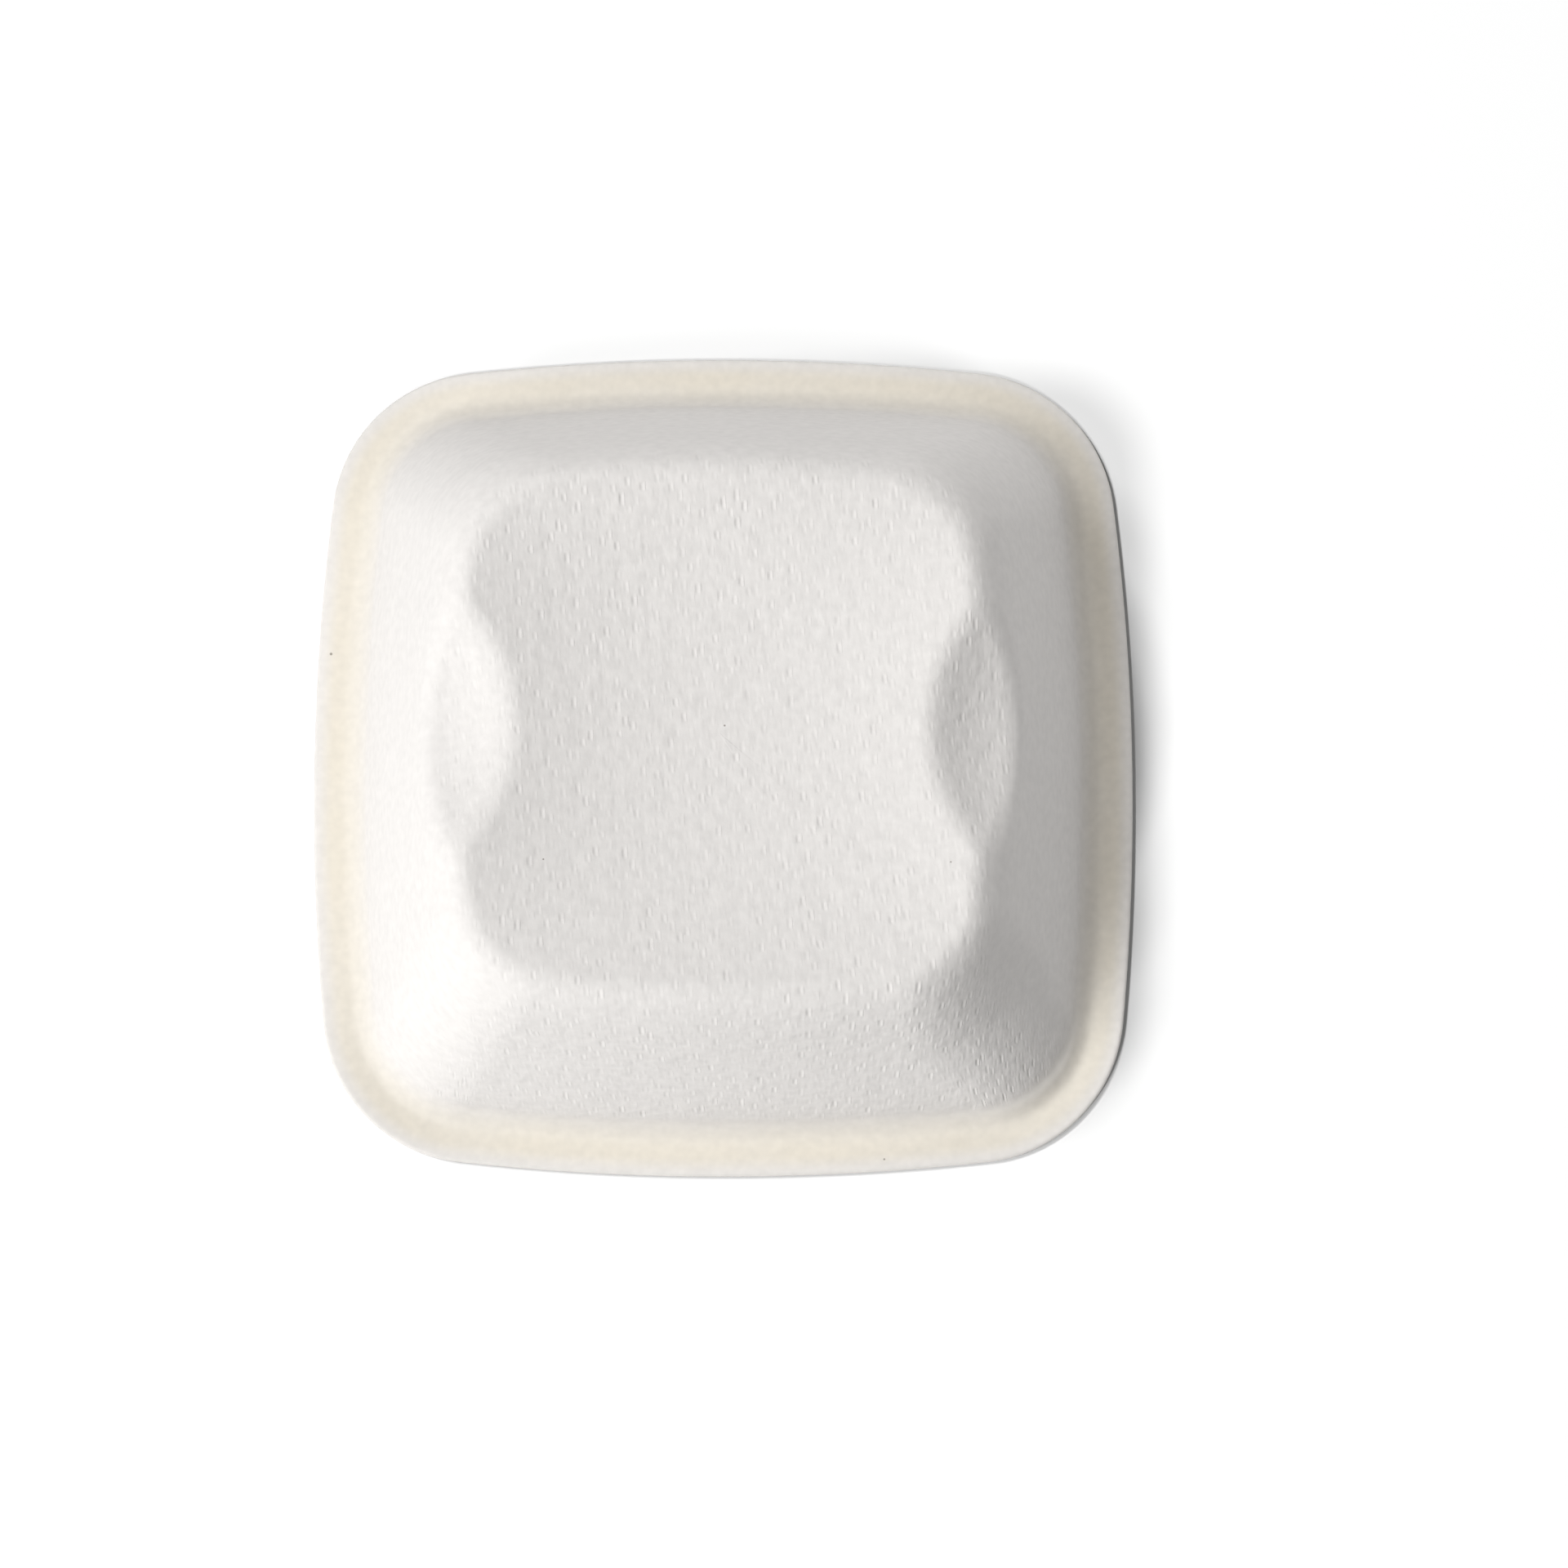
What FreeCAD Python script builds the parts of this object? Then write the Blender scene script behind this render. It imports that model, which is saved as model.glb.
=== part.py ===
import FreeCAD, Part
import math
import os
import Sketcher

# Portion cup of moulded sugar-cane pulp, lying mouth down on its rim.
# Frame: millimetres, +Z up, origin under the middle of the cup on the plane the rim rests on.
# +X points to one scooped side, +Y to a plain side.  The closed end of the cup is on top.

doc = FreeCAD.newDocument("PortionCup")

drivingSizes = {
    "rimWidth": 70.0,          # across the rim, middle of one side to middle of the other
    "rimCorner": 13.0,         # corner radius of the rim
    "sideTurn": 6.2,           # degrees that each bowed side turns from its middle to its end
    "cupHeight": 24.35,        # rim's resting face to the closed end
    "wallThickness": 0.8,      # of the pulp, everywhere
    "flangeWidth": 4.0,        # rim's edge to the foot of the wall
    "edgeRound": 0.3,          # on both edges of the trimmed rim
    "footCorner": 9.1,         # corner radius of the wall where it leaves the flange
    "footRound": 2.4,          # hollow radius between flange and wall
    "baseWidth": 43.5,         # across the closed end, before its edge is rounded
    "baseCorner": 8.1,         # corner radius of the closed end
    "baseRound": 4.0,          # rounding between wall and closed end
    "dishDepth": 3.0,          # how far the middle of the closed end is sunk
    "dishWidth": 42.0,         # across the sunk part, which reaches over the rounding in mid-side
    "scoopRadius": 15.4,       # ball that the two finger scoops are pressed with
    "scoopReach": 26.85,       # middle of the cup to the middle of that ball
    "scoopRise": 10.45,        # closed end up to the middle of that ball
    "scoopRound": 2.4,         # rounding along the scoop's lip
}

sizes = doc.addObject("Spreadsheet::Sheet", "Sizes")
for rowNumber, (alias, value) in enumerate(drivingSizes.items(), start=1):
    sizes.set(f"A{rowNumber}", alias)
    sizes.set(f"B{rowNumber}", str(value))
    sizes.setAlias(f"B{rowNumber}", alias)
doc.recompute()

closeEnough = 0.001            # for telling at which level or radius a face or an edge lies

# Sizes that follow from the driving ones.
footHalf = "(Sizes.rimWidth / 2 - Sizes.flangeWidth)"
baseHalf = "(Sizes.baseWidth / 2)"
wallRise = "(Sizes.cupHeight - Sizes.wallThickness)"
draft = f"atan(({footHalf} - {baseHalf}) / {wallRise})"
dishBall = "(((Sizes.dishWidth / 2) ^ 2 + Sizes.dishDepth ^ 2) / (2 * Sizes.dishDepth))"

# The inner skin is the outer one moved in by the wall, which on the sloping wall makes
# every outline smaller by this much all round.
wallInset = f"(Sizes.wallThickness * tan(45 deg - {draft} / 2))"


def evaluate(expression):
    """Value of an expression on the sheet, as a plain number."""
    return float(sizes.evalExpression(expression))


def roundedSquare(body, name, half, corner, level):
    """Outline of four bowed sides and four corners: all arcs, each tangent to the next."""
    # With half the width and the corner radius given, the angle that a side turns through
    # leaves one radius for it.
    share = "(cos(Sizes.sideTurn) - sin(Sizes.sideTurn))"
    side = f"((({half}) - ({corner}) * {share}) / (1 - {share}))"
    sideRadius = evaluate(side)
    cornerRadius = evaluate(corner)
    sideCentre = sideRadius - evaluate(half)
    turn = math.radians(evaluate("Sizes.sideTurn"))
    cornerCentre = (sideRadius - cornerRadius) * math.sin(turn)

    sketch = body.newObject("Sketcher::SketchObject", name)
    planes = {plane.Role: plane for plane in body.Origin.OriginFeatures}
    sketch.AttachmentSupport = (planes["XY_Plane"], "")
    sketch.MapMode = "FlatFace"
    sketch.setExpression("AttachmentOffset.Base.z", level)

    up = FreeCAD.Vector(0, 0, 1)
    for quarter in range(4):
        heading = quarter * math.pi / 2
        spin = FreeCAD.Rotation(up, math.degrees(heading))
        centre = spin.multVec(FreeCAD.Vector(-sideCentre, 0, 0))
        circle = Part.Circle(centre, up, sideRadius)
        sketch.addGeometry(Part.ArcOfCircle(circle, heading - turn, heading + turn))
        centre = spin.multVec(FreeCAD.Vector(cornerCentre, cornerCentre, 0))
        circle = Part.Circle(centre, up, cornerRadius)
        sketch.addGeometry(Part.ArcOfCircle(circle, heading + turn, heading + math.pi / 2 - turn))

    startPoint, endPoint, centrePoint = 1, 2, 3
    xAxis, yAxis = -1, -2
    sides, corners = (0, 2, 4, 6), (1, 3, 5, 7)
    for arc in range(8):
        joint = Sketcher.Constraint("Tangent", arc, endPoint, (arc + 1) % 8, startPoint)
        sketch.addConstraint(joint)
    for arc, axis in zip(sides, (xAxis, yAxis, xAxis, yAxis)):
        sketch.addConstraint(Sketcher.Constraint("PointOnObject", arc, centrePoint, axis))
        gap = Sketcher.Constraint("Distance", xAxis, startPoint, arc, centrePoint, sideCentre)
        number = sketch.addConstraint(gap)
        sketch.setExpression(f"Constraints[{number}]", f"{side} - ({half})")
    for arcs, radius in ((sides, side), (corners, corner)):
        number = sketch.addConstraint(Sketcher.Constraint("Radius", arcs[0], evaluate(radius)))
        sketch.setExpression(f"Constraints[{number}]", radius)
        for arc in arcs[1:]:
            sketch.addConstraint(Sketcher.Constraint("Equal", arcs[0], arc))
    return sketch


def levelEdges(feature, level, reach):
    """Names of the edges that lie at one level and no further out than reach."""
    names = []
    for number, edge in enumerate(feature.Shape.Edges, start=1):
        box = edge.BoundBox
        isLevel = abs(box.ZMin - level) < closeEnough and abs(box.ZMax - level) < closeEnough
        if isLevel and max(box.XMax, -box.XMin, box.YMax, -box.YMin) < reach + closeEnough:
            names.append(f"Edge{number}")
    return names


def ballEdges(feature, radius):
    """Names of the edges round the faces that a ball of this radius has left."""
    names = []
    for face in feature.Shape.Faces:
        if isinstance(face.Surface, Part.Sphere) and abs(face.Surface.Radius - radius) < closeEnough:
            for number, edge in enumerate(feature.Shape.Edges, start=1):
                if any(edge.isSame(lip) for lip in face.Edges):
                    names.append(f"Edge{number}")
    return names


def addRounding(body, name, feature, edges, radius):
    rounding = body.newObject("PartDesign::Fillet", name)
    rounding.Base = (feature, edges)
    rounding.setExpression("Radius", radius)
    doc.recompute()
    return rounding


def pressBall(body, name, radius, reach, level, spin):
    """Sink a ball into the body, its seam turned away from the middle of the cup."""
    ball = body.newObject("PartDesign::SubtractiveSphere", name)
    ball.setExpression("Radius", radius)
    ball.Placement.Rotation = FreeCAD.Rotation(FreeCAD.Vector(0, 0, 1), spin)
    ball.setExpression("Placement.Base.x", reach)
    ball.setExpression("Placement.Base.z", level)
    doc.recompute()
    return ball


def addSkin(name, depth, inset, rimRound=None):
    """Solid that fills one skin of the cup, which lies depth below the outer skin."""
    body = doc.addObject("PartDesign::Body", name)
    flangeTop = f"(Sizes.wallThickness - {depth})"
    closedEnd = f"(Sizes.cupHeight - {depth})"

    rim = roundedSquare(body, name + "Rim", f"Sizes.rimWidth / 2 - {depth}",
                        f"Sizes.rimCorner - {depth}", f"-{depth}")
    flange = body.newObject("PartDesign::Pad", name + "Flange")
    flange.Profile = rim
    flange.setExpression("Length", "Sizes.wallThickness")
    doc.recompute()
    if rimRound:
        edges = levelEdges(flange, 0, evaluate("Sizes.rimWidth"))
        edges += levelEdges(flange, evaluate(flangeTop), evaluate("Sizes.rimWidth"))
        addRounding(body, name + "RimRound", flange, edges, rimRound)

    foot = roundedSquare(body, name + "Foot", f"{footHalf} - {inset}",
                         f"Sizes.footCorner - {inset}", flangeTop)
    base = roundedSquare(body, name + "Base", f"{baseHalf} - {inset}",
                         f"Sizes.baseCorner - {inset}", closedEnd)
    wall = body.newObject("PartDesign::AdditiveLoft", name + "Wall")
    wall.Profile = foot
    wall.Sections = [base]
    wall.Ruled = True
    doc.recompute()

    edges = levelEdges(wall, evaluate(flangeTop), evaluate(footHalf))
    footRound = addRounding(body, name + "FootRound", wall, edges, f"Sizes.footRound + {depth}")
    edges = levelEdges(footRound, evaluate(closedEnd), evaluate(baseHalf))
    baseRound = addRounding(body, name + "BaseRound", footRound, edges, f"Sizes.baseRound - {depth}")

    # A finger scoop on each side along X, with a soft lip.
    ballRadius = f"(Sizes.scoopRadius + {depth})"
    ballLevel = "Sizes.cupHeight + Sizes.scoopRise"
    pressBall(body, name + "RightScoop", ballRadius, "Sizes.scoopReach", ballLevel, 0)
    scoops = pressBall(body, name + "LeftScoop", ballRadius, "-Sizes.scoopReach", ballLevel, 180)
    edges = ballEdges(scoops, evaluate(ballRadius))
    addRounding(body, name + "ScoopRound", scoops, edges, f"Sizes.scoopRound - {depth}")

    dishLevel = f"Sizes.cupHeight - Sizes.dishDepth + {dishBall}"
    pressBall(body, name + "Dish", f"{dishBall} + {depth}", "0", dishLevel, 0)
    return body


outerSkin = addSkin("outerSkin", "0", "0", "min(Sizes.edgeRound; Sizes.wallThickness * 0.45)")
innerSkin = addSkin("innerSkin", "Sizes.wallThickness", wallInset)

cup = doc.addObject("Part::Cut", "cup")
cup.Base = outerSkin
cup.Tool = innerSkin
doc.recompute()

for part in doc.Objects:
    if "Invalid" in part.State or "Error" in part.State:
        raise RuntimeError(f"{part.Label} failed: {part.State}")
if cup.Shape.isNull() or not cup.Shape.isValid() or len(cup.Shape.Solids) != 1:
    raise RuntimeError(f"{cup.Label} isn't one valid solid")

os.makedirs("parts", exist_ok=True)
cup.Shape.exportStep(f"parts/{cup.Label}.step")
print(f"{cup.Label}: {cup.Shape.Volume:.0f} cubic millimetres of pulp, {len(cup.Shape.Faces)} faces")
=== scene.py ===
import math

import bpy
import numpy as np
from mathutils import Euler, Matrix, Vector, noise


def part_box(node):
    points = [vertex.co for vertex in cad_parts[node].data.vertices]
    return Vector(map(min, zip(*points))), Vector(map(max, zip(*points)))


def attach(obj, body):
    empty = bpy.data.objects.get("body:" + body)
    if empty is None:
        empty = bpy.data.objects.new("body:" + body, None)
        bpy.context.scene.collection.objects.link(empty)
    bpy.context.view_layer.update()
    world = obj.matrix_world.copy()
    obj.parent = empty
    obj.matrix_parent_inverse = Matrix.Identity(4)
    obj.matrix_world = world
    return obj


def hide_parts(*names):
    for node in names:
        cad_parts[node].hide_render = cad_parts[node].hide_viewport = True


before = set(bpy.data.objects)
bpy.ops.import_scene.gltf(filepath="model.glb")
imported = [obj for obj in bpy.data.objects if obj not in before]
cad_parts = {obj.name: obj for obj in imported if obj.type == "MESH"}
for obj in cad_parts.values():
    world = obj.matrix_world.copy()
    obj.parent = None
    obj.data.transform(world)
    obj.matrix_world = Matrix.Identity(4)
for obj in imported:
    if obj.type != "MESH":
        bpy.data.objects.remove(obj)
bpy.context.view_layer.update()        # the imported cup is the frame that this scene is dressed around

mm = 0.001               # sizes below are in millimetres, Blender's are in metres


lowCorner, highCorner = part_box("cup")
cupForm = {
    "rimHalf": (highCorner.x - lowCorner.x) / 2 / mm,
    "height": (highCorner.z - lowCorner.z) / mm,
    "wall": 0.8,             # thickness of the pulp
    "lengthShare": 1.007,    # front to back it has dried a little longer than it is wide
    "sideTurn": 6.2,         # degrees that each bowed side turns from its middle to its end

    # radii of the corners: back right, back left, front left, front right
    "rimCorners": (13.0, 13.0, 13.0, 13.0),
    "footCorners": (9.0, 9.0, 9.0, 8.2),
    "middleCorners": (8.3, 8.7, 8.6, 11.5),      # half way up the wall
    "crownCorners": (7.6, 8.4, 8.1, 9.0),

    # rim and foot
    "edgeRound": 0.3,        # on the trimmed edge of the rim
    "flange": 4.0,           # rim's edge to the foot of the wall
    "footRound": 2.4,
    "footGroove": (0.07, 2.8, 1.6),    # depth, distance from the rim's edge, reach to each side
    "rimSlope": 0.055,       # the rim falls this much a millimetre towards the groove

    # closed end
    "crownHalf": 21.5,       # half of it, where wall and end would meet unrounded
    "crownAbove": 0.6,       # how far that meeting lies above the highest point
    "crownSoft": 5.7,        # depth over which wall and closed end run into each other
    "frontRightSoft": 4.0,   # the same at the front right corner, which is pressed crisper
    "frontRightReach": (1.1, 0.25),    # where that corner starts, and over how much it builds up
    "crownShift": (-0.32, -0.50),      # it sits a little off the middle of the trimmed rim
    "mostShift": 1.25,       # share of the shift at its middle; 0 at the foot, 1 at the crown
    "dishDepth": 3.65,
    "dishPower": 2.19,       # 2 is a parabola, more is flatter in the middle

    # finger scoops
    "scoops": ((1, 26.9, 9.6, -0.55), (-1, 26.75, 10.1, -0.45)),   # side, reach, rise, offset
    "scoopBall": 15.4,
    "scoopSoft": 1.5,        # depth over which a scoop's lip is rounded
    "innerTighter": (1.4, 0.6),        # crown and scoops are rounded by this much less a
                                       # millimetre of wall on the inner skin

    # share of the forming screen's weave that the pulp has taken
    "endWeave": (1.0, 1.5),  # it starts this deep under the wall's slope, and is full this much on
    "scoopWeave": (1.25, 0.9),         # each scoop's, against the closed end's
    "scoopWeaveOver": 0.3,   # its own share holds until it stands this far above the closed end
    "frontWeave": (0.35, 0.35, 0.5),   # front wall: lean to the right, where it starts, build-up
    "frontWeaveShare": (0.8, 0.35),    # there, and what the front right corner adds
    "frontRightWeave": (1.0, 0.3),     # where that corner starts, and over how much it builds up
    "rimWeave": (4.5, 2.0),  # none this near to the rim's edge, full this much further in
    "innerWeave": 0.3,       # share of it that the inner skin has
    "screenDrape": 0.4,      # share of a slope's extra length by which the weave spreads outwards

    # unevenness from drying
    "swells": ((0.10, 14.0), (0.020, 3.2)),      # height and width: slow, fine
    "swellFade": (6.0, 0.15),          # it fades this near to the rim's edge, to this share

    # fineness of the mesh
    "sideSteps": 84,         # around: along each bowed side
    "cornerSteps": 36,       # around: along each corner
    "dishRings": 44,
    "crownBand": (5.0, 2.0),           # crown rings lie this far inwards and outwards of the crown
    "crownRings": 22,
    "wallRings": 26,
    "footRings": 12,
    "flangeRings": 12,
    "edgeRings": 4,
    "innerShare": 0.6,       # rings on the inner skin for each ring on the outer one
    "fewestRings": 3,
}


def softMin(first, second, depth):
    # the lower of two surfaces, run into each other where they are closer than depth
    share = np.clip(0.5 + 0.5 * (second - first) / depth, 0, 1)
    return second * (1 - share) + first * share - depth * share * (1 - share)


def frontRightShare(squares, reach):
    # 0 away from the front right corner, 1 at it
    start, buildUp = reach
    return np.clip((squares[..., 0] - squares[..., 1] - start) / buildUp, 0, 1)


def outline(half, corners, form):
    # Four bowed sides and four corners, all arcs, each tangent to the next.  Gives the points
    # and, for each, the direction that is square to the outline.
    turn = math.radians(form["sideTurn"])
    share = math.cos(turn) - math.sin(turn)
    sideSteps = form["sideSteps"] // 2
    cornerSteps = form["cornerSteps"]
    angles = np.concatenate([
        np.linspace(0, turn, sideSteps, endpoint=False),
        np.linspace(turn, math.pi / 2 - turn, cornerSteps, endpoint=False),
        np.linspace(math.pi / 2 - turn, math.pi / 2, sideSteps, endpoint=False),
    ])
    onSide = np.arange(len(angles)) < sideSteps
    onNext = np.arange(len(angles)) >= sideSteps + cornerSteps
    directions = np.stack([np.cos(angles), np.sin(angles)], 1)
    points, squares = [], []
    for quarter, corner in enumerate(corners):
        bow = (half - share * corner) / (1 - share)
        cornerCentre = (bow - corner) * math.sin(turn)
        centreX = np.where(onSide, half - bow, np.where(onNext, 0, cornerCentre))
        centreY = np.where(onSide, 0, np.where(onNext, half - bow, cornerCentre))
        radii = np.where(onSide | onNext, bow, corner)
        arc = np.stack([centreX, centreY], 1) + radii[:, None] * directions
        cosine = round(math.cos(quarter * math.pi / 2))
        sine = round(math.sin(quarter * math.pi / 2))
        spin = np.array([[cosine, sine], [-sine, cosine]])
        points.append(arc @ spin * (1, form["lengthShare"]))
        squares.append(directions @ spin)
    return np.concatenate(points), np.concatenate(squares)


def skinRings(form, depth):
    # One skin of the cup as rings of points from the middle of the closed end to the rim.
    # depth is how far the skin lies under the outer one.
    run = form["rimHalf"] - form["flange"] - form["crownHalf"]
    crownTop = form["height"] + form["crownAbove"]
    rise = crownTop - form["wall"]
    draft = math.atan2(run, rise)
    inset = depth * math.tan(math.pi / 4 - draft / 2)
    footHalf = form["rimHalf"] - form["flange"] - inset
    crownHalf = form["crownHalf"] - inset
    flangeTop = form["wall"] - depth
    footRound = form["footRound"] + depth
    tangent = footRound * math.tan(math.pi / 4 - draft / 2)
    upWall = tangent * math.sin(draft)
    edge = form["rimHalf"] - form["edgeRound"]
    crownTighter, scoopTighter = form["innerTighter"]
    scoopSoft = form["scoopSoft"] - scoopTighter * depth
    scoopBall = form["scoopBall"] + depth
    weaveStart, weaveBuildUp = form["endWeave"]

    share = form["innerShare"] if depth else 1.0

    def steps(name):
        return max(form["fewestRings"], round(form[name] * share))

    inBand, outBand = form["crownBand"]
    halves = np.concatenate([
        np.linspace(0, crownHalf - inBand, steps("dishRings"), endpoint=False)[1:],
        np.linspace(crownHalf - inBand, crownHalf + outBand, steps("crownRings"), endpoint=False),
        np.linspace(crownHalf + outBand, footHalf - upWall, steps("wallRings"), endpoint=False),
        np.linspace(footHalf - upWall, footHalf + tangent, steps("footRings"), endpoint=False),
        np.linspace(footHalf + tangent, edge, steps("flangeRings")),
    ])
    stations = (0, crownHalf, (crownHalf + footHalf) / 2, footHalf, form["rimHalf"])
    cornerRadii = [(0, crown - inset, middle - inset, foot - inset, rim)
                   for crown, middle, foot, rim in zip(form["crownCorners"], form["middleCorners"],
                                                       form["footCorners"], form["rimCorners"])]
    rings = []
    for half in halves:
        up = (footHalf - half) / (footHalf - crownHalf)      # 0 at the wall's foot, 1 at the crown
        corners = [np.interp(half, stations, radii) for radii in cornerRadii]
        points, squares = outline(half, corners, form)
        points = points + np.array(form["crownShift"]) * np.clip(up, 0, form["mostShift"])

        # flange, hollow rounding and straight wall
        wallLevel = flangeTop + rise * up
        out = half - footHalf
        if out > tangent:
            wallLevel = flangeTop
        elif out > -upWall:
            wallLevel = flangeTop + footRound - math.sqrt(footRound ** 2 - (tangent - out) ** 2)

        # sunk closed end
        x, y = points[:, 0], points[:, 1]
        alongX = np.clip(np.abs(x - form["crownShift"][0]) / form["crownHalf"], 0, 1)
        alongY = np.clip(np.abs(y - form["crownShift"][1]) / form["crownHalf"], 0, 1)
        power = form["dishPower"]
        sunk = form["dishDepth"] * (1 - alongX ** power) * (1 - alongY ** power)
        endLevel = crownTop - depth - sunk
        crisper = frontRightShare(squares, form["frontRightReach"])
        crownSoft = form["crownSoft"] + (form["frontRightSoft"] - form["crownSoft"]) * crisper
        z = softMin(np.full(len(x), wallLevel), endLevel, crownSoft - crownTighter * depth)

        # finger scoops
        scoopLevels = []
        for side, reach, lift, offset in form["scoops"]:
            inside = scoopBall ** 2 - (x - side * reach) ** 2 - (y - offset) ** 2
            scoopLevel = crownTop + lift - np.sqrt(np.clip(inside, 0, None))
            z = np.where(inside > 0, softMin(z, scoopLevel, scoopSoft), z)
            scoopLevels.append((inside, scoopLevel))
        z = np.maximum(z, flangeTop)

        # the outer skin's rim falls to a shallow groove beside the foot
        if not depth:
            groove, grooveAt, grooveReach = form["footGroove"]
            inwards = form["rimHalf"] - grooveAt - half
            dip = 0.5 + 0.5 * math.cos(math.pi * min(1, abs(inwards) / grooveReach))
            sloping = edge - half if inwards < 0 else (edge - form["rimHalf"] + grooveAt) * dip
            z = z - groove * dip - form["rimSlope"] * sloping

        # share of the weave: none on the walls, full on the closed end and in the scoops
        pressed = np.clip((wallLevel - z - weaveStart) / weaveBuildUp, 0, 1)
        highest = np.minimum(wallLevel, endLevel) + form["scoopWeaveOver"]
        for (inside, scoopLevel), weave in zip(scoopLevels, form["scoopWeave"]):
            pressed = np.where((inside > 0) & (scoopLevel < highest), pressed * weave, pressed)
        rings.append((np.column_stack([x, y, z]), squares, pressed))
    return rings


def edgeRings(form):
    # The trimmed edge of the rim, from the outer skin's side over to the inner skin's: an upper
    # quarter of a round without its first ring, and a lower one without its last.
    radius = form["edgeRound"]
    rings = []
    steps = form["edgeRings"]
    for centre, start in ((form["wall"] - radius, math.pi / 2), (radius, 0)):
        for step in range(1, steps + 1) if start else range(steps):
            angle = start - step * math.pi / 2 / steps
            half = form["rimHalf"] - radius + radius * math.cos(angle)
            corners = [corner - form["rimHalf"] + half for corner in form["rimCorners"]]
            points, squares = outline(half, corners, form)
            z = np.full(len(points), centre + radius * math.sin(angle))
            rings.append((np.column_stack([points, z]), squares, np.zeros(len(points))))
    return rings


def wave(point, swells):
    # slow unevenness in millimetres
    seedStep = Vector((7.3, 1.9, 4.1))
    height = 0.0
    for seed, (amount, width) in enumerate(swells, 1):
        height += amount * noise.noise(Vector(point) / width + seedStep * seed)
    return height


def alongSkin(grid):
    # each point's way from the middle of the closed end, along the skin and as seen from above
    ways = []
    for points in (grid, grid[:, :, :2]):
        lengths = np.linalg.norm(np.diff(points, axis=0), axis=2)
        ways.append(np.concatenate([np.zeros((1, grid.shape[1])), np.cumsum(lengths, 0)]))
    return ways


def cupFaces(ringCount, around):
    # four-sided faces from ring to ring, and a fan around each skin's middle point, which are
    # the last two points of the mesh
    faces = []
    lastRing = (ringCount - 1) * around
    middleOuter = ringCount * around
    for ring in range(ringCount - 1):
        for step in range(around):
            after = (step + 1) % around
            faces.append((ring * around + step, (ring + 1) * around + step,
                          (ring + 1) * around + after, ring * around + after))
    for step in range(around):
        after = (step + 1) % around
        faces.append((middleOuter, step, after))
        faces.append((middleOuter + 1, lastRing + after, lastRing + step))
    return faces


def noteOnMesh(mesh, name, rings, middles):
    # a number for each point, which the finish reads by name
    note = mesh.attributes.new(name, "FLOAT", "POINT")
    note.data.foreach_set("value", np.append(rings.reshape(-1), middles))


def buildCup():
    form = cupForm
    outer = skinRings(form, 0.0)
    inner = skinRings(form, form["wall"])
    rings = outer + edgeRings(form) + inner[::-1]
    around = len(outer[0][0])
    grid = np.array([ring[0] for ring in rings])
    squares = np.array([ring[1] for ring in rings])
    pressed = np.array([ring[2] for ring in rings])
    middleOuter, middleInner = grid[0].mean(0), grid[-1].mean(0)
    vertices = np.concatenate([grid.reshape(-1, 3), [middleOuter, middleInner]])

    mesh = bpy.data.meshes.new("pulp_cup")
    mesh.from_pydata([tuple(v * mm) for v in vertices], [], cupFaces(len(grid), around))
    mesh.validate()
    mesh.update()

    # how far each point lies from the rim's edge, less than 0 on the inner skin
    edgeAt = len(outer)
    ringNumber = np.arange(len(grid))[:, None]
    path, flat = alongSkin(grid)
    fromRim = path[edgeAt] - path

    # unevenness: both skins move together, so the wall keeps its thickness
    normals = np.array([v.normal for v in mesh.vertices])
    fadeReach, leastFade = form["swellFade"]
    fade = np.append(np.clip(np.abs(fromRim).reshape(-1) / fadeReach, leastFade, 1), [1, 1])
    onOuter = (ringNumber <= edgeAt + form["edgeRings"]).repeat(around)
    side = np.where(np.append(onOuter, [True, False]), 1, -1)
    for number, vertex in enumerate(mesh.vertices):
        swell = wave(vertices[number], form["swells"]) * fade[number] * side[number]
        vertex.co += Vector(normals[number]) * swell * mm
        vertex.co.z = max(vertex.co.z, 0.0)      # nothing dips under what the cup stands on

    # the place of each point on the flat forming screen
    unrolled = np.where(ringNumber < edgeAt, path - flat, (path[-1] - path) - (flat[-1] - flat))
    screenPlace = grid[:, :, :2] + squares * unrolled[:, :, None] * form["screenDrape"]

    # how much of the screen's weave the pulp has taken
    lean, frontStart, frontBuildUp = form["frontWeave"]
    frontWeave, cornerWeave = form["frontWeaveShare"]
    rimStart, rimBuildUp = form["rimWeave"]
    front = (lean * squares[:, :, 0] - squares[:, :, 1] - frontStart) / frontBuildUp
    atCorner = frontRightShare(squares, form["frontRightWeave"])
    woven = np.maximum(pressed, np.clip(front, 0, 1) * (frontWeave + cornerWeave * atCorner))
    woven = woven * np.clip((np.abs(fromRim) - rimStart) / rimBuildUp, 0, 1)
    woven = np.where(ringNumber <= edgeAt, woven, woven * form["innerWeave"])

    noteOnMesh(mesh, "fromRim", fromRim, (fromRim[0].mean(), fromRim[-1].mean()))
    noteOnMesh(mesh, "woven", woven, (1, form["innerWeave"]))
    noteOnMesh(mesh, "screenAcross", screenPlace[:, :, 0], (middleOuter[0], middleInner[0]))
    noteOnMesh(mesh, "screenAlong", screenPlace[:, :, 1], (middleOuter[1], middleInner[1]))

    cup = bpy.data.objects.new("pulp_cup", mesh)
    bpy.context.scene.collection.objects.link(cup)
    mesh.polygons.foreach_set("use_smooth", [True] * len(mesh.polygons))
    print("cup:", len(mesh.vertices), "points,", len(mesh.polygons), "faces")
    return cup


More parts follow.
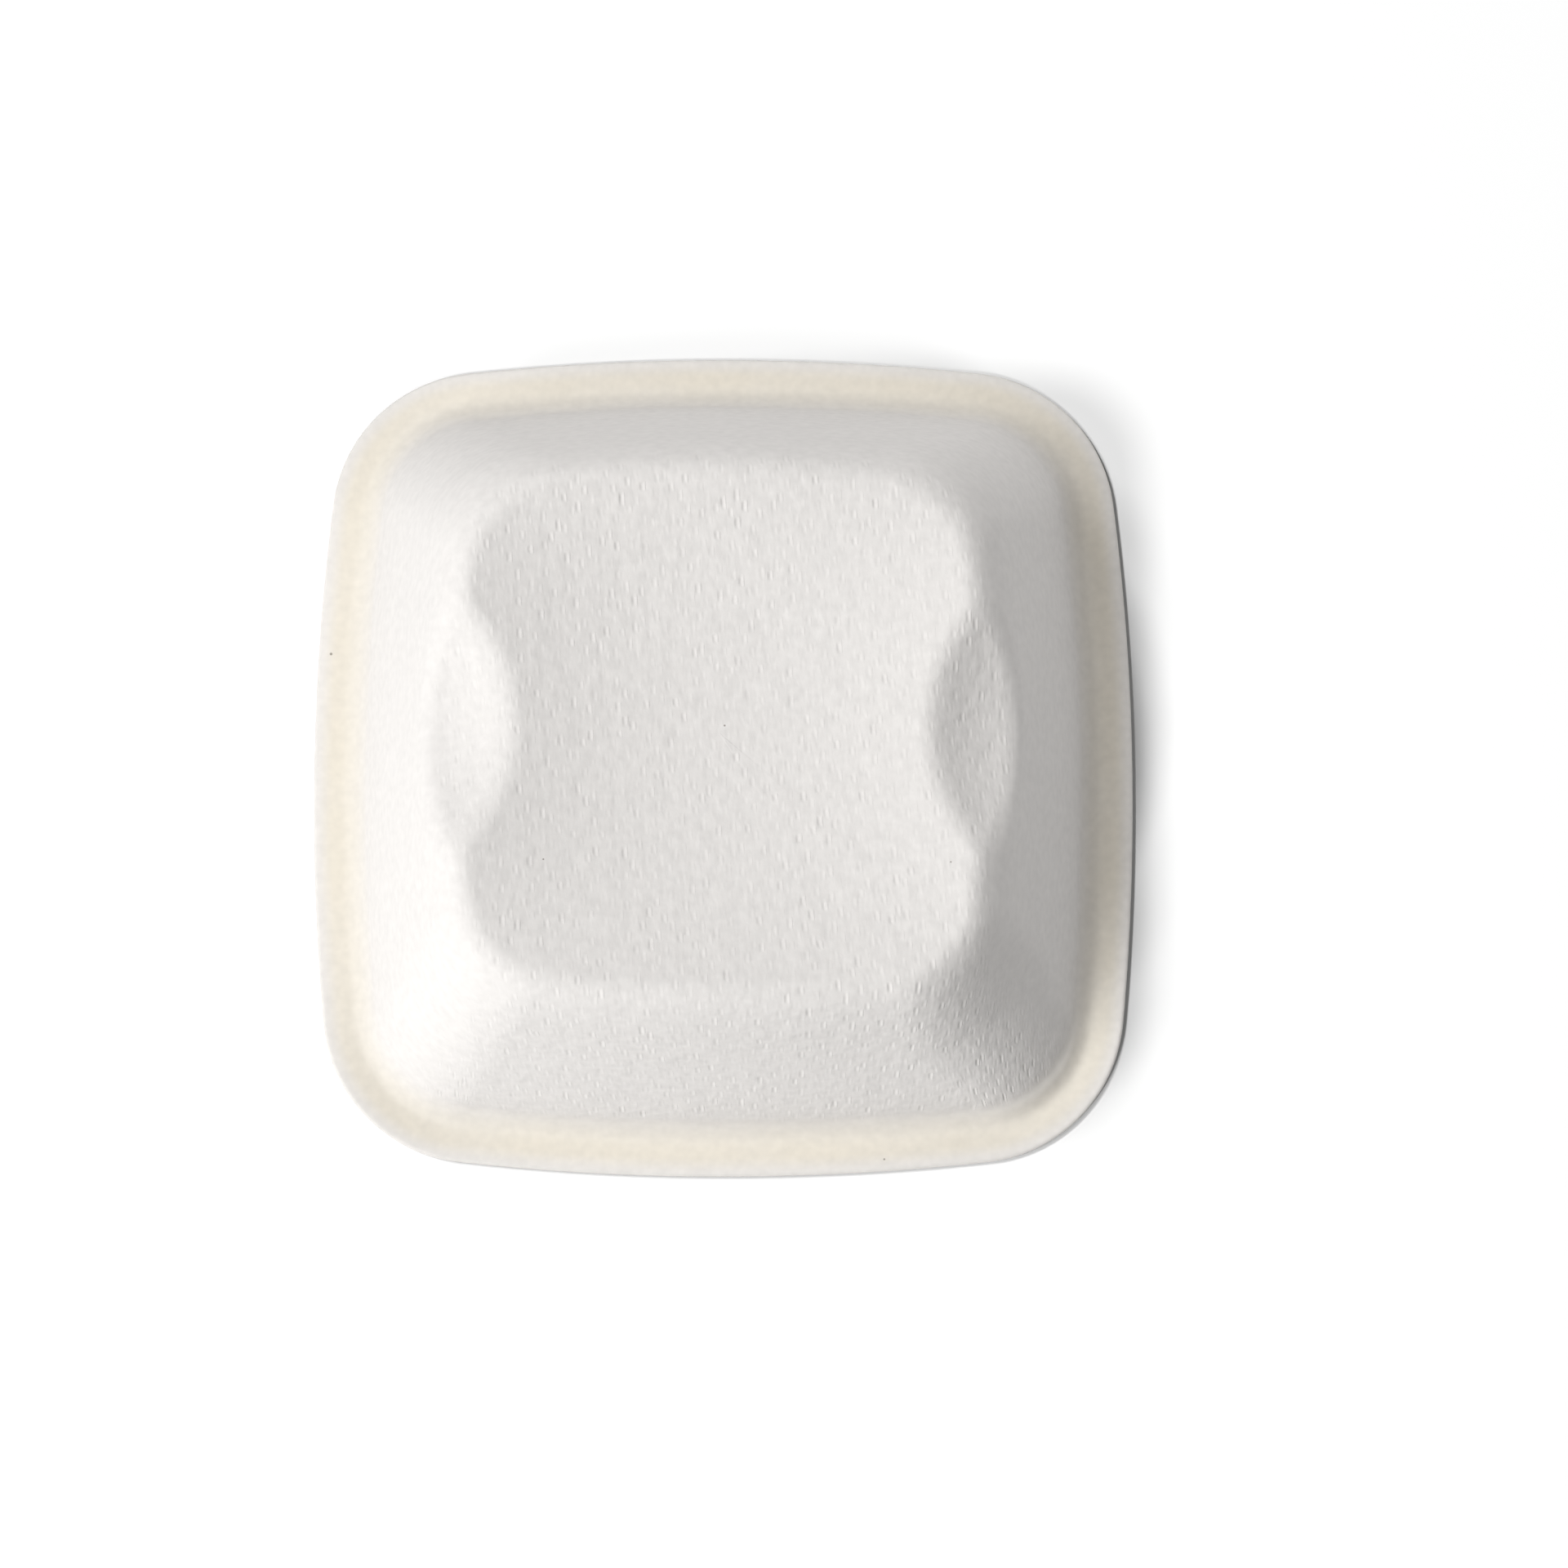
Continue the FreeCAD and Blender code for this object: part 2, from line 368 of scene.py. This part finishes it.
pulpFinish = {
    "white": (0.808, 0.785, 0.763),
    "cream": (0.790, 0.740, 0.645),      # of the rim, where the press is hottest
    "creamReach": (1.5, 1.6, 6.2),       # from the rim's edge: full, starting to fade and gone
    "creamAtEdge": 0.15,                 # share of it at the very edge of the outer skin
    "creamClouds": (0.75, 0.4, 7.0),     # least share, what the clouds add, and their width
    "mottle": (0.14, 0.8),               # unevenness of the colour, and its width
    "roughness": 0.9,
    "gloss": 0.25,

    # weave of the forming screen; shares are of the cell between two wires
    "screenPitch": 0.566,                # between the wires
    "screenRepeat": 2.26,                # four wires, after which the weave starts again
    "screenTurn": 3.0,                   # degrees that the screen lies askew
    "screenWander": (0.12, 0.4, 2.0),    # across and along, and the width over which it changes
    "markStray": (0.18, 0.22),           # share that a mark may lie off its place, across and along
    "markDepth": 0.042,
    "markGroove": (-0.06, 0.42),         # its middle and its reach, in shares across
    "markLip": (0.36, 0.30, 0.5),        # of the lip beside it the same, and its height
    "markEnds": (0.03, 0.20, 0.10),      # full this near its centre, gone at this, chance adds this
    "markChance": (0.3, 1.1, 2.5),       # least depth, what chance adds, and how seldom
    "markPatches": (3.0, 0.25, 0.65, 0.4),       # width, weak under this, strong over this, least

    # grain of the fibres
    "drawnGrain": (0.06, 0.7, 1.6),      # height, width and length
    "evenGrain": (0.02, 0.7),            # height and width
    "unevenGrain": (0.11, 1.7),
    "grainUnwoven": 0.35,                # share of the last two where the screen left no marks

    # bits of bark in the pulp: across, along, radius
    "specks": (
        (-33.7, 9.2, 0.17), (0.1, -0.1, 0.11), (-13.9, -10.8, 0.10), (17.5, -11.1, 0.09),
        (13.5, -33.8, 0.12),
    ),
    "speckColour": (0.16, 0.13, 0.10),
    "speckStrength": (0.75, 0.3),        # how much shows, and the share of the radius where it does
}


class Wire:
    # a node's socket that can stand in a Python expression
    def __init__(self, tree, socket=None):
        self.tree = tree
        self.socket = socket

    def node(self, kind, settings=None, sockets=None, output=0):
        made = self.tree.nodes.new(kind)
        for name, value in (settings or {}).items():
            setattr(made, name, value)
        for name, value in (sockets or {}).items():
            if isinstance(value, Wire):
                self.tree.links.new(value.socket, made.inputs[name])
            else:
                made.inputs[name].default_value = value
        return Wire(self.tree, made.outputs[output])

    def output(self, name):
        return Wire(self.tree, self.socket.node.outputs[name])

    def maths(self, operation, *values):
        return self.node("ShaderNodeMath", {"operation": operation}, dict(enumerate(values)))

    def __add__(self, other):
        return self.maths("ADD", self, other)

    def __sub__(self, other):
        return self.maths("SUBTRACT", self, other)

    def __rsub__(self, other):
        return self.maths("SUBTRACT", other, self)

    def __mul__(self, other):
        return self.maths("MULTIPLY", self, other)

    def __truediv__(self, other):
        return self.maths("DIVIDE", self, other)

    def __rtruediv__(self, other):
        return self.maths("DIVIDE", other, self)

    def __pow__(self, other):
        return self.maths("POWER", self, other)

    def __rpow__(self, other):
        return self.maths("POWER", other, self)

    def __gt__(self, other):
        return self.maths("GREATER_THAN", self, other)

    def __lt__(self, other):
        return self.maths("LESS_THAN", self, other)

    __radd__ = __add__
    __rmul__ = __mul__


def pulpMaterial():
    finish = pulpFinish
    material = bpy.data.materials.new("moulded_pulp")
    material.use_nodes = True
    tree = material.node_tree
    shader = tree.nodes["Principled BSDF"]
    start = Wire(tree)

    def noted(name):
        return start.node("ShaderNodeAttribute", {"attribute_name": name}, output="Fac")

    def ease(value, low, high):
        return start.node("ShaderNodeMapRange", {"interpolation_type": "SMOOTHSTEP"},
                          {"Value": value, "From Min": low, "From Max": high})

    def unsigned(value):
        return start.maths("ABSOLUTE", value)

    def hump(off, reach):
        return ease(unsigned(off), reach, 0.0)

    def joined(x, y):
        return start.node("ShaderNodeCombineXYZ", None, {"X": x, "Y": y})

    def vectorMaths(operation, sockets, output=0):
        return start.node("ShaderNodeVectorMath", {"operation": operation}, sockets, output)

    def cloud(where, width, detail=1.0):
        return start.node("ShaderNodeTexNoise", None,
                          {"Vector": where, "Scale": 1 / width, "Detail": detail})

    def tint(mask, first, second):
        return start.node("ShaderNodeMix", {"data_type": "RGBA"},
                          {"Factor": mask, "A": first, "B": second}, output=2)

    fromRim, woven = noted("fromRim"), noted("woven")
    across, along = noted("screenAcross"), noted("screenAlong")
    spot = start.node("ShaderNodeTexCoord", output="Object")
    spot = vectorMaths("SCALE", {"Vector": spot, "Scale": 1 / mm})

    # cream rim, near-white body, both faintly mottled
    full, fading, gone = finish["creamReach"]
    atEdge = finish["creamAtEdge"]
    leastCream, cloudCream, creamWidth = finish["creamClouds"]
    outerBand = ease(fromRim, gone, fading) * (atEdge + (1 - atEdge) * ease(fromRim, 0.0, full))
    rimBand = (outerBand + ease(fromRim, 0.0, -full)) * ease(fromRim, -gone, -fading)
    rimBand = rimBand * (leastCream + cloudCream * cloud(spot, creamWidth, 2.0))
    colour = tint(rimBand, (*finish["white"], 1), (*finish["cream"], 1))
    mottle, mottleWidth = finish["mottle"]
    colour = vectorMaths("SCALE", {"Vector": colour,
                                   "Scale": 1.0 + (cloud(spot, mottleWidth) - 0.5) * mottle})

    # the forming screen's cells, of one wire across and four along; one column is set over
    # against the next by one, three and two wires in turn
    turn = math.radians(finish["screenTurn"])
    wanderAcross, wanderAlong, wanderWidth = finish["screenWander"]
    wander = cloud(spot, wanderWidth) - 0.5
    x = across * math.cos(turn) + along * math.sin(turn) + wander * wanderAcross
    y = along * math.cos(turn) - across * math.sin(turn) + wander * wanderAlong
    column = x / finish["screenPitch"]
    columnNumber = start.maths("FLOOR", column)
    four = start.maths("FLOORED_MODULO", columnNumber, 4.0)
    setOver = four + (four > 1.5) * (5.0 - 2.0 * four)
    row = y / finish["screenRepeat"] - setOver / 4.0
    rowNumber = start.maths("FLOOR", row)

    # one short groove in each cell, a little out of place, and some hardly there
    chance = start.node("ShaderNodeTexWhiteNoise", None,
                        {"Vector": joined(columnNumber, rowNumber)}, output="Color")
    chances = start.node("ShaderNodeSeparateXYZ", None, {"Vector": chance})
    depthChance, lengthChance = chances.output("X"), chances.output("Y")
    strayAcross, strayAlong = finish["markStray"]
    offMiddle = column - columnNumber - 0.5 + (chances.output("Z") - 0.5) * strayAcross
    offCentre = row - rowNumber - 0.5 + (lengthChance - 0.5) * strayAlong
    grooveMiddle, grooveReach = finish["markGroove"]
    lipMiddle, lipReach, lipHeight = finish["markLip"]
    fullEnd, goneEnd, chanceEnd = finish["markEnds"]
    groove = hump(offMiddle - grooveMiddle, grooveReach)
    groove = groove - hump(offMiddle - lipMiddle, lipReach) * lipHeight
    groove = groove * ease(unsigned(offCentre), goneEnd + chanceEnd * lengthChance, fullEnd)
    leastDepth, chanceDepth, seldom = finish["markChance"]
    patchWidth, weakUnder, strongOver, leastPatch = finish["markPatches"]
    strength = ease(cloud(spot, patchWidth, 2.0), weakUnder, strongOver)
    marks = groove * (leastDepth + chanceDepth * depthChance ** seldom)
    marks = marks * (leastPatch + (1 - leastPatch) * strength) * woven

    # grain of the fibres: drawn out along the screen where it is woven, even elsewhere
    drawnHeight, drawnWidth, drawnLength = finish["drawnGrain"]
    evenHeight, evenWidth = finish["evenGrain"]
    unevenHeight, unevenWidth = finish["unevenGrain"]
    unwoven = finish["grainUnwoven"]
    even = cloud(spot, evenWidth, 2.0) * evenHeight + cloud(spot, unevenWidth) * unevenHeight
    grain = cloud(joined(x / drawnWidth, y / drawnLength), 1.0) * drawnHeight * woven
    grain = grain + even * (unwoven + (1 - unwoven) * woven)
    bump = start.node("ShaderNodeBump", None, {"Height": grain - marks * finish["markDepth"],
                                               "Distance": mm, "Strength": 1.0})

    # a few dark specks on the outer skin, placed as seen from above
    speckShare, speckCore = finish["speckStrength"]
    level = vectorMaths("MULTIPLY", {0: spot, 1: (1, 1, 0)})
    for speckAcross, speckAlong, radius in finish["specks"]:
        off = vectorMaths("DISTANCE", {0: level, 1: (speckAcross, speckAlong, 0.0)}, "Value")
        dark = ease(off, radius, radius * speckCore) * (fromRim > 0.0) * speckShare
        colour = tint(dark, colour, (*finish["speckColour"], 1))

    tree.links.new(colour.socket, shader.inputs["Base Color"])
    tree.links.new(bump.socket, shader.inputs["Normal"])
    shader.inputs["Roughness"].default_value = finish["roughness"]
    shader.inputs["Specular IOR Level"].default_value = finish["gloss"]
    print("pulp finish:", len(tree.nodes), "nodes")
    return material


floorLook = {
    "size": 3.0,             # metres
    "colour": (0.36, 0.36, 0.36),
    "roughness": 1.0,
    "gloss": 0.0,
}


def layFloor():
    half = floorLook["size"] / 2
    mesh = bpy.data.meshes.new("floor")
    mesh.from_pydata([(-half, -half, 0), (half, -half, 0), (half, half, 0), (-half, half, 0)],
                     [], [(0, 1, 2, 3)])
    floor = bpy.data.objects.new("floor", mesh)
    bpy.context.scene.collection.objects.link(floor)
    material = bpy.data.materials.new("floor_white")
    material.use_nodes = True
    shader = material.node_tree.nodes["Principled BSDF"]
    shader.inputs["Base Color"].default_value = (*floorLook["colour"], 1)
    shader.inputs["Roughness"].default_value = floorLook["roughness"]
    shader.inputs["Specular IOR Level"].default_value = floorLook["gloss"]
    mesh.materials.append(material)
    print("floor:", floorLook["size"], "m across")
    return floor


lightSetup = {
    "backdrop": 0.9,         # behind the floor: the camera alone sees it, and it lights nothing
    "lamps": (
        # name, azimuth, elevation, distance and size in metres, watts, on the floor or the cup
        ("key", 203, 54, 1.0, 0.30, 3.22, False),
        ("second_key", 176, 58, 1.0, 0.20, 1.90, False),
        ("low_left", 215, 12, 1.0, 0.35, 2.40, False),
        ("overhead", 0, 90, 1.0, 0.90, 3.05, False),
        ("fill_left", 225, 40, 1.0, 0.90, 2.30, False),
        ("fill_back", 65, 15, 1.0, 0.90, 3.75, False),
        ("floor_back", 145, 54, 3.0, 0.36, 80.0, True),
        ("floor_left", 160, 54, 3.0, 0.36, 74.0, True),
        ("floor_key", 190, 54, 3.0, 0.36, 43.0, True),
        ("floor_side", 220, 49, 3.0, 0.36, 89.0, True),
        ("floor_front", 265, 54, 3.0, 0.36, 36.0, True),
    ),
}


def setLights(cup, floor):
    # the floor has lamps of its own, so its brightness can be set without touching the cup's
    cupAlone = bpy.data.collections.new("cup_alone")
    cupAlone.objects.link(cup)
    floorAlone = bpy.data.collections.new("floor_alone")
    floorAlone.objects.link(floor)
    world = bpy.data.worlds.new("studio")
    world.use_nodes = True
    background = world.node_tree.nodes["Background"]
    background.inputs["Color"].default_value = (1, 1, 1, 1)
    background.inputs["Strength"].default_value = lightSetup["backdrop"]
    bpy.context.scene.world = world
    for ray in ("diffuse", "glossy", "transmission", "scatter"):
        setattr(world.cycles_visibility, ray, False)
    for name, azimuth, elevation, distance, size, power, forFloor in lightSetup["lamps"]:
        lamp = bpy.data.lights.new(name, "AREA")
        lamp.shape = "DISK"
        lamp.size = size
        lamp.energy = power
        holder = bpy.data.objects.new(name, lamp)
        turn, lift = math.radians(azimuth), math.radians(elevation)
        away = Vector((math.cos(turn) * math.cos(lift), math.sin(turn) * math.cos(lift),
                       math.sin(lift)))
        holder.location = away * distance
        holder.rotation_euler = away.to_track_quat("Z", "Y").to_euler()
        holder.light_linking.receiver_collection = floorAlone if forFloor else cupAlone
        bpy.context.scene.collection.objects.link(holder)
    print("lights:", len(lightSetup["lamps"]), "lamps")


viewSetup = {
    "distance": 0.245,       # metres from the middle of the underside
    "tilt": 7.8,             # degrees off the vertical, towards the front
    "sensor": 36.0,
    "lens": 65.6,
    "shift": (0.0387, -0.0145),
}


def setCamera():
    camera = bpy.data.cameras.new("camera")
    camera.sensor_width = viewSetup["sensor"]
    camera.lens = viewSetup["lens"]
    camera.shift_x, camera.shift_y = viewSetup["shift"]
    holder = bpy.data.objects.new("camera", camera)
    tilt = math.radians(viewSetup["tilt"])
    holder.location = Vector((0, -math.sin(tilt), math.cos(tilt))) * viewSetup["distance"]
    holder.rotation_euler = Euler((tilt, 0, 0))
    bpy.context.scene.collection.objects.link(holder)
    bpy.context.scene.camera = holder
    bpy.context.scene.view_settings.view_transform = "Standard"
    print("camera:", viewSetup["tilt"], "degrees off the vertical")


cup = buildCup()
cup.data.materials.append(pulpMaterial())
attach(cup, "root")
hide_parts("cup")
setLights(cup, layFloor())
setCamera()
